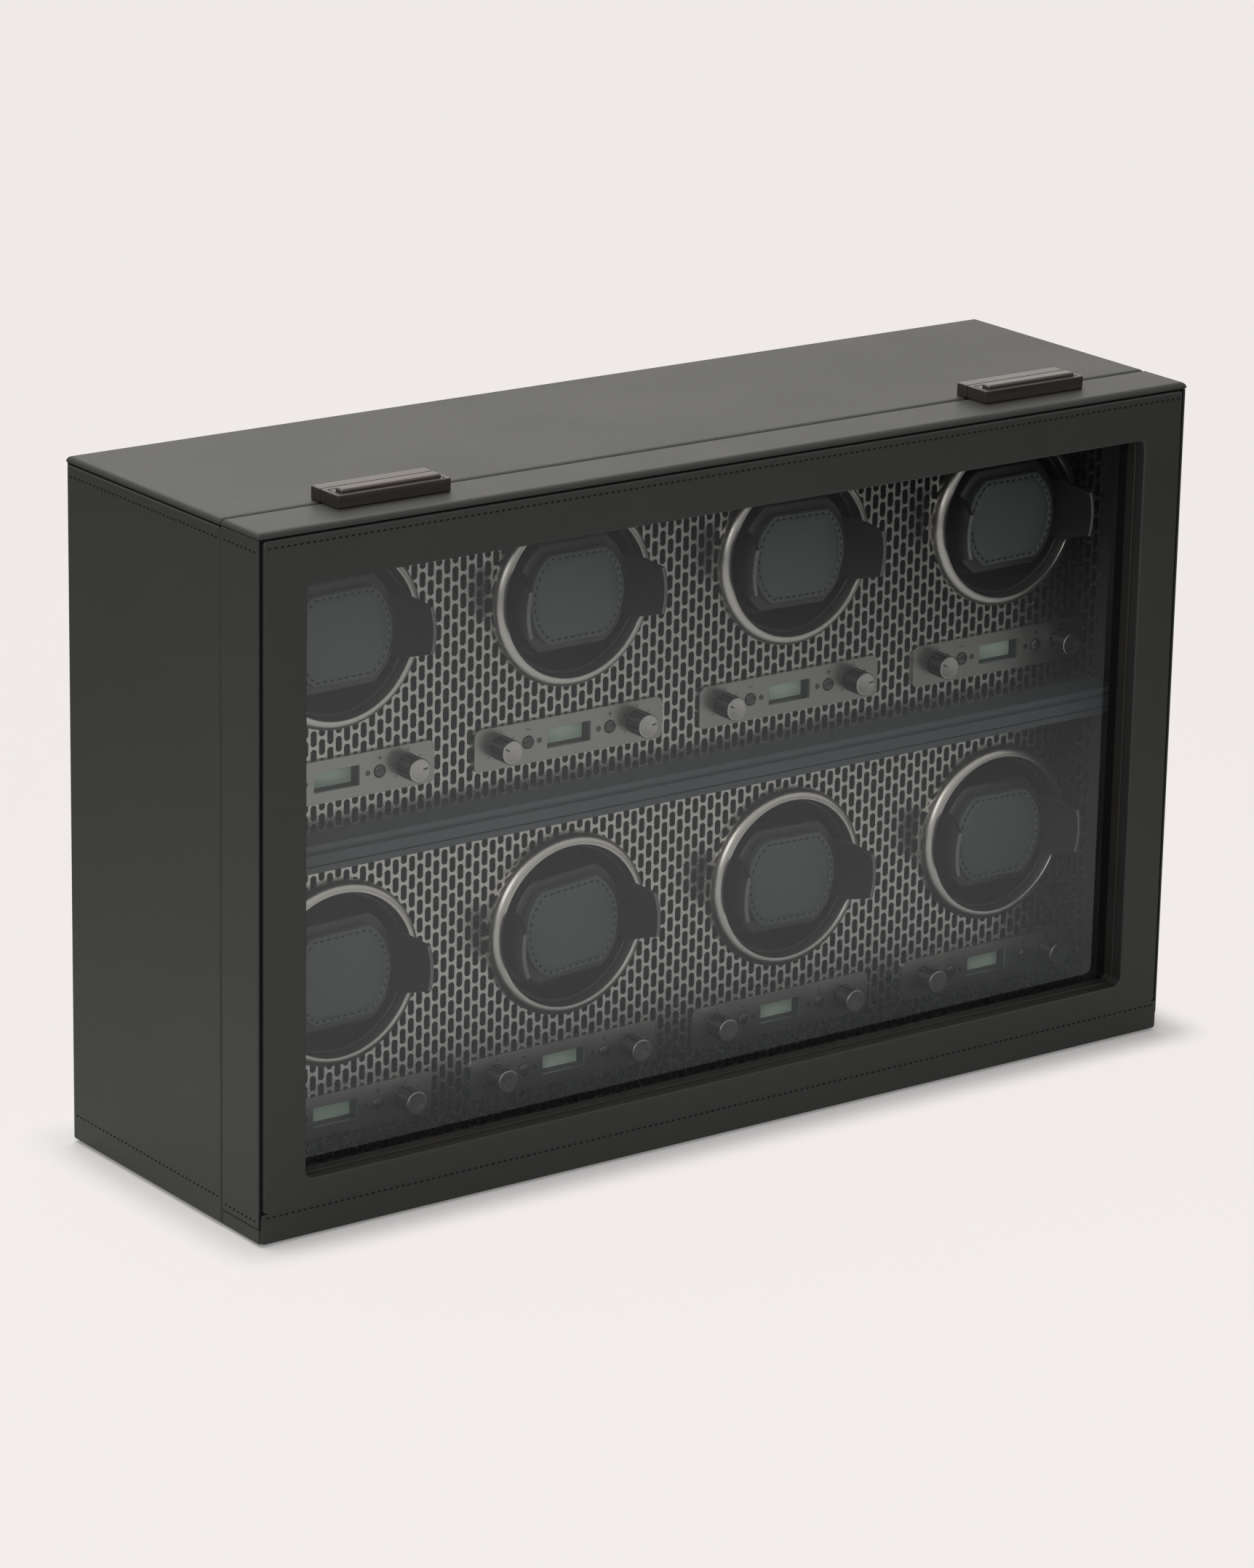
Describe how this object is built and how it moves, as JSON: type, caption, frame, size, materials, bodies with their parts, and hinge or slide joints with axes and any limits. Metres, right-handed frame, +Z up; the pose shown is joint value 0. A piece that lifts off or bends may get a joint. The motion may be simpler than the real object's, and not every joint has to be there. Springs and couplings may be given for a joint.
{
  "type": "watch winder box",
  "caption": "Upright leather-covered watch winder box with a glazed drop-front door, perforated metal face plates, rotating cuffs in bezel rings, control plates and top latches.",
  "frame": {"origin": "middle of the resting plane, under the centre of the box", "axes": "+X along the width, -Y out of the glazed front, +Z up"},
  "size_m": [0.59, 0.18, 0.3779],
  "materials": {
    "case_leather": "fine-grained matt black coated leather with tone-on-tone stitching",
    "back_lining": "black lining cloth on board",
    "screw_steel": "blackened steel",
    "black_plastic": "matt black moulded plastic",
    "foot_felt": "black felt",
    "rail_black": "black wrapped rail",
    "plate_steel": "satin warm grey metal with oblong perforations",
    "ring_gunmetal": "satin gunmetal",
    "motor_steel": "plated steel can",
    "control_steel": "satin warm grey metal",
    "board_green": "circuit board",
    "lens_dark": "smoked indicator lens",
    "latch_gunmetal": "polished dark gunmetal",
    "door_glass": "clear float glass",
    "rotor_black": "matt black cup and cuff with a leather pad",
    "knob_metal": "satin cap on a dark fluted skirt",
    "button_black": "satin dark button"
  },
  "bodies": {
    "case": {"case_carcass": "case_leather", "back_panel": "back_lining", "back_screws": "screw_steel", "dc_inlet": "black_plastic", "feet": "foot_felt", "divider_rail": "rail_black", "face_plates": "plate_steel", "bezel_rings": "ring_gunmetal", "rotor_housings": "black_plastic", "gear_motors": "motor_steel", "control_plates": "control_steel", "control_boards": "board_green", "indicator_lenses": "lens_dark", "latch_keepers": "latch_gunmetal", "hinge_strip": "case_leather"},
    "door": {"door_frame": "case_leather", "door_glass": "door_glass", "latch_bodies": "latch_gunmetal"},
    "lever_left": {"latch_lever_left": "latch_gunmetal"},
    "lever_right": {"latch_lever_right": "latch_gunmetal"},
    "rotor_upper_1": {"rotor_upper_1": "rotor_black"},
    "knob_upper_1_left": {"knob_upper_1_left": "knob_metal"},
    "knob_upper_1_right": {"knob_upper_1_right": "knob_metal"},
    "button_upper_1_minus": {"button_upper_1_minus": "button_black"},
    "button_upper_1_plus": {"button_upper_1_plus": "button_black"},
    "rotor_upper_2": {"rotor_upper_2": "rotor_black"},
    "knob_upper_2_left": {"knob_upper_2_left": "knob_metal"},
    "knob_upper_2_right": {"knob_upper_2_right": "knob_metal"},
    "button_upper_2_minus": {"button_upper_2_minus": "button_black"},
    "button_upper_2_plus": {"button_upper_2_plus": "button_black"},
    "rotor_upper_3": {"rotor_upper_3": "rotor_black"},
    "knob_upper_3_left": {"knob_upper_3_left": "knob_metal"},
    "knob_upper_3_right": {"knob_upper_3_right": "knob_metal"},
    "button_upper_3_minus": {"button_upper_3_minus": "button_black"},
    "button_upper_3_plus": {"button_upper_3_plus": "button_black"},
    "rotor_upper_4": {"rotor_upper_4": "rotor_black"},
    "knob_upper_4_left": {"knob_upper_4_left": "knob_metal"},
    "knob_upper_4_right": {"knob_upper_4_right": "knob_metal"},
    "button_upper_4_minus": {"button_upper_4_minus": "button_black"},
    "button_upper_4_plus": {"button_upper_4_plus": "button_black"},
    "rotor_lower_1": {"rotor_lower_1": "rotor_black"},
    "knob_lower_1_left": {"knob_lower_1_left": "knob_metal"},
    "knob_lower_1_right": {"knob_lower_1_right": "knob_metal"},
    "button_lower_1_minus": {"button_lower_1_minus": "button_black"},
    "button_lower_1_plus": {"button_lower_1_plus": "button_black"},
    "rotor_lower_2": {"rotor_lower_2": "rotor_black"},
    "knob_lower_2_left": {"knob_lower_2_left": "knob_metal"},
    "knob_lower_2_right": {"knob_lower_2_right": "knob_metal"},
    "button_lower_2_minus": {"button_lower_2_minus": "button_black"},
    "button_lower_2_plus": {"button_lower_2_plus": "button_black"},
    "rotor_lower_3": {"rotor_lower_3": "rotor_black"},
    "knob_lower_3_left": {"knob_lower_3_left": "knob_metal"},
    "knob_lower_3_right": {"knob_lower_3_right": "knob_metal"},
    "button_lower_3_minus": {"button_lower_3_minus": "button_black"},
    "button_lower_3_plus": {"button_lower_3_plus": "button_black"},
    "rotor_lower_4": {"rotor_lower_4": "rotor_black"},
    "knob_lower_4_left": {"knob_lower_4_left": "knob_metal"},
    "knob_lower_4_right": {"knob_lower_4_right": "knob_metal"},
    "button_lower_4_minus": {"button_lower_4_minus": "button_black"},
    "button_lower_4_plus": {"button_lower_4_plus": "button_black"}
  },
  "joints": [
    {"name": "door_hinge", "type": "hinge", "parent": "case", "child": "door", "pos_m": [0, -0.09, 0.0097], "axis": [1, 0, 0], "range_deg": [0, 90]},
    {"name": "latch_lever_left", "type": "hinge", "parent": "door", "child": "lever_left", "pos_m": [-0.204, -0.064, 0.3757], "axis": [-1, 0, 0], "range_deg": [0, 10], "stiffness_Nm_per_rad": 0.3},
    {"name": "latch_lever_right", "type": "hinge", "parent": "door", "child": "lever_right", "pos_m": [0.204, -0.064, 0.3757], "axis": [-1, 0, 0], "range_deg": [0, 10], "stiffness_Nm_per_rad": 0.3},
    {"name": "rotor_upper_1_spin", "type": "hinge", "parent": "case", "child": "rotor_upper_1", "pos_m": [-0.21488, -0.03, 0.294], "axis": [0, -1, 0], "continuous": true},
    {"name": "knob_upper_1_left_turn", "type": "hinge", "parent": "case", "child": "knob_upper_1_left", "pos_m": [-0.25788, -0.042, 0.2181], "axis": [0, 1, 0], "range_deg": [-135, 135]},
    {"name": "knob_upper_1_right_turn", "type": "hinge", "parent": "case", "child": "knob_upper_1_right", "pos_m": [-0.17188, -0.042, 0.2181], "axis": [0, 1, 0], "range_deg": [-135, 135]},
    {"name": "button_upper_1_minus_press", "type": "slide", "parent": "case", "child": "button_upper_1_minus", "axis": [0, 1, 0], "range_m": [0, 0.001], "stiffness_N_per_m": 200},
    {"name": "button_upper_1_plus_press", "type": "slide", "parent": "case", "child": "button_upper_1_plus", "axis": [0, 1, 0], "range_m": [0, 0.001], "stiffness_N_per_m": 200},
    {"name": "rotor_upper_2_spin", "type": "hinge", "parent": "case", "child": "rotor_upper_2", "pos_m": [-0.07162, -0.03, 0.294], "axis": [0, -1, 0], "continuous": true},
    {"name": "knob_upper_2_left_turn", "type": "hinge", "parent": "case", "child": "knob_upper_2_left", "pos_m": [-0.11463, -0.042, 0.2181], "axis": [0, 1, 0], "range_deg": [-135, 135]},
    {"name": "knob_upper_2_right_turn", "type": "hinge", "parent": "case", "child": "knob_upper_2_right", "pos_m": [-0.02863, -0.042, 0.2181], "axis": [0, 1, 0], "range_deg": [-135, 135]},
    {"name": "button_upper_2_minus_press", "type": "slide", "parent": "case", "child": "button_upper_2_minus", "axis": [0, 1, 0], "range_m": [0, 0.001], "stiffness_N_per_m": 200},
    {"name": "button_upper_2_plus_press", "type": "slide", "parent": "case", "child": "button_upper_2_plus", "axis": [0, 1, 0], "range_m": [0, 0.001], "stiffness_N_per_m": 200},
    {"name": "rotor_upper_3_spin", "type": "hinge", "parent": "case", "child": "rotor_upper_3", "pos_m": [0.07162, -0.03, 0.294], "axis": [0, -1, 0], "continuous": true},
    {"name": "knob_upper_3_left_turn", "type": "hinge", "parent": "case", "child": "knob_upper_3_left", "pos_m": [0.02863, -0.042, 0.2181], "axis": [0, 1, 0], "range_deg": [-135, 135]},
    {"name": "knob_upper_3_right_turn", "type": "hinge", "parent": "case", "child": "knob_upper_3_right", "pos_m": [0.11463, -0.042, 0.2181], "axis": [0, 1, 0], "range_deg": [-135, 135]},
    {"name": "button_upper_3_minus_press", "type": "slide", "parent": "case", "child": "button_upper_3_minus", "axis": [0, 1, 0], "range_m": [0, 0.001], "stiffness_N_per_m": 200},
    {"name": "button_upper_3_plus_press", "type": "slide", "parent": "case", "child": "button_upper_3_plus", "axis": [0, 1, 0], "range_m": [0, 0.001], "stiffness_N_per_m": 200},
    {"name": "rotor_upper_4_spin", "type": "hinge", "parent": "case", "child": "rotor_upper_4", "pos_m": [0.21488, -0.03, 0.294], "axis": [0, -1, 0], "continuous": true},
    {"name": "knob_upper_4_left_turn", "type": "hinge", "parent": "case", "child": "knob_upper_4_left", "pos_m": [0.17188, -0.042, 0.2181], "axis": [0, 1, 0], "range_deg": [-135, 135]},
    {"name": "knob_upper_4_right_turn", "type": "hinge", "parent": "case", "child": "knob_upper_4_right", "pos_m": [0.25788, -0.042, 0.2181], "axis": [0, 1, 0], "range_deg": [-135, 135]},
    {"name": "button_upper_4_minus_press", "type": "slide", "parent": "case", "child": "button_upper_4_minus", "axis": [0, 1, 0], "range_m": [0, 0.001], "stiffness_N_per_m": 200},
    {"name": "button_upper_4_plus_press", "type": "slide", "parent": "case", "child": "button_upper_4_plus", "axis": [0, 1, 0], "range_m": [0, 0.001], "stiffness_N_per_m": 200},
    {"name": "rotor_lower_1_spin", "type": "hinge", "parent": "case", "child": "rotor_lower_1", "pos_m": [-0.21488, -0.03, 0.115], "axis": [0, -1, 0], "continuous": true},
    {"name": "knob_lower_1_left_turn", "type": "hinge", "parent": "case", "child": "knob_lower_1_left", "pos_m": [-0.25788, -0.042, 0.0391], "axis": [0, 1, 0], "range_deg": [-135, 135]},
    {"name": "knob_lower_1_right_turn", "type": "hinge", "parent": "case", "child": "knob_lower_1_right", "pos_m": [-0.17188, -0.042, 0.0391], "axis": [0, 1, 0], "range_deg": [-135, 135]},
    {"name": "button_lower_1_minus_press", "type": "slide", "parent": "case", "child": "button_lower_1_minus", "axis": [0, 1, 0], "range_m": [0, 0.001], "stiffness_N_per_m": 200},
    {"name": "button_lower_1_plus_press", "type": "slide", "parent": "case", "child": "button_lower_1_plus", "axis": [0, 1, 0], "range_m": [0, 0.001], "stiffness_N_per_m": 200},
    {"name": "rotor_lower_2_spin", "type": "hinge", "parent": "case", "child": "rotor_lower_2", "pos_m": [-0.07162, -0.03, 0.115], "axis": [0, -1, 0], "continuous": true},
    {"name": "knob_lower_2_left_turn", "type": "hinge", "parent": "case", "child": "knob_lower_2_left", "pos_m": [-0.11463, -0.042, 0.0391], "axis": [0, 1, 0], "range_deg": [-135, 135]},
    {"name": "knob_lower_2_right_turn", "type": "hinge", "parent": "case", "child": "knob_lower_2_right", "pos_m": [-0.02863, -0.042, 0.0391], "axis": [0, 1, 0], "range_deg": [-135, 135]},
    {"name": "button_lower_2_minus_press", "type": "slide", "parent": "case", "child": "button_lower_2_minus", "axis": [0, 1, 0], "range_m": [0, 0.001], "stiffness_N_per_m": 200},
    {"name": "button_lower_2_plus_press", "type": "slide", "parent": "case", "child": "button_lower_2_plus", "axis": [0, 1, 0], "range_m": [0, 0.001], "stiffness_N_per_m": 200},
    {"name": "rotor_lower_3_spin", "type": "hinge", "parent": "case", "child": "rotor_lower_3", "pos_m": [0.07162, -0.03, 0.115], "axis": [0, -1, 0], "continuous": true},
    {"name": "knob_lower_3_left_turn", "type": "hinge", "parent": "case", "child": "knob_lower_3_left", "pos_m": [0.02863, -0.042, 0.0391], "axis": [0, 1, 0], "range_deg": [-135, 135]},
    {"name": "knob_lower_3_right_turn", "type": "hinge", "parent": "case", "child": "knob_lower_3_right", "pos_m": [0.11463, -0.042, 0.0391], "axis": [0, 1, 0], "range_deg": [-135, 135]},
    {"name": "button_lower_3_minus_press", "type": "slide", "parent": "case", "child": "button_lower_3_minus", "axis": [0, 1, 0], "range_m": [0, 0.001], "stiffness_N_per_m": 200},
    {"name": "button_lower_3_plus_press", "type": "slide", "parent": "case", "child": "button_lower_3_plus", "axis": [0, 1, 0], "range_m": [0, 0.001], "stiffness_N_per_m": 200},
    {"name": "rotor_lower_4_spin", "type": "hinge", "parent": "case", "child": "rotor_lower_4", "pos_m": [0.21488, -0.03, 0.115], "axis": [0, -1, 0], "continuous": true},
    {"name": "knob_lower_4_left_turn", "type": "hinge", "parent": "case", "child": "knob_lower_4_left", "pos_m": [0.17188, -0.042, 0.0391], "axis": [0, 1, 0], "range_deg": [-135, 135]},
    {"name": "knob_lower_4_right_turn", "type": "hinge", "parent": "case", "child": "knob_lower_4_right", "pos_m": [0.25788, -0.042, 0.0391], "axis": [0, 1, 0], "range_deg": [-135, 135]},
    {"name": "button_lower_4_minus_press", "type": "slide", "parent": "case", "child": "button_lower_4_minus", "axis": [0, 1, 0], "range_m": [0, 0.001], "stiffness_N_per_m": 200},
    {"name": "button_lower_4_plus_press", "type": "slide", "parent": "case", "child": "button_lower_4_plus", "axis": [0, 1, 0], "range_m": [0, 0.001], "stiffness_N_per_m": 200}
  ]
}
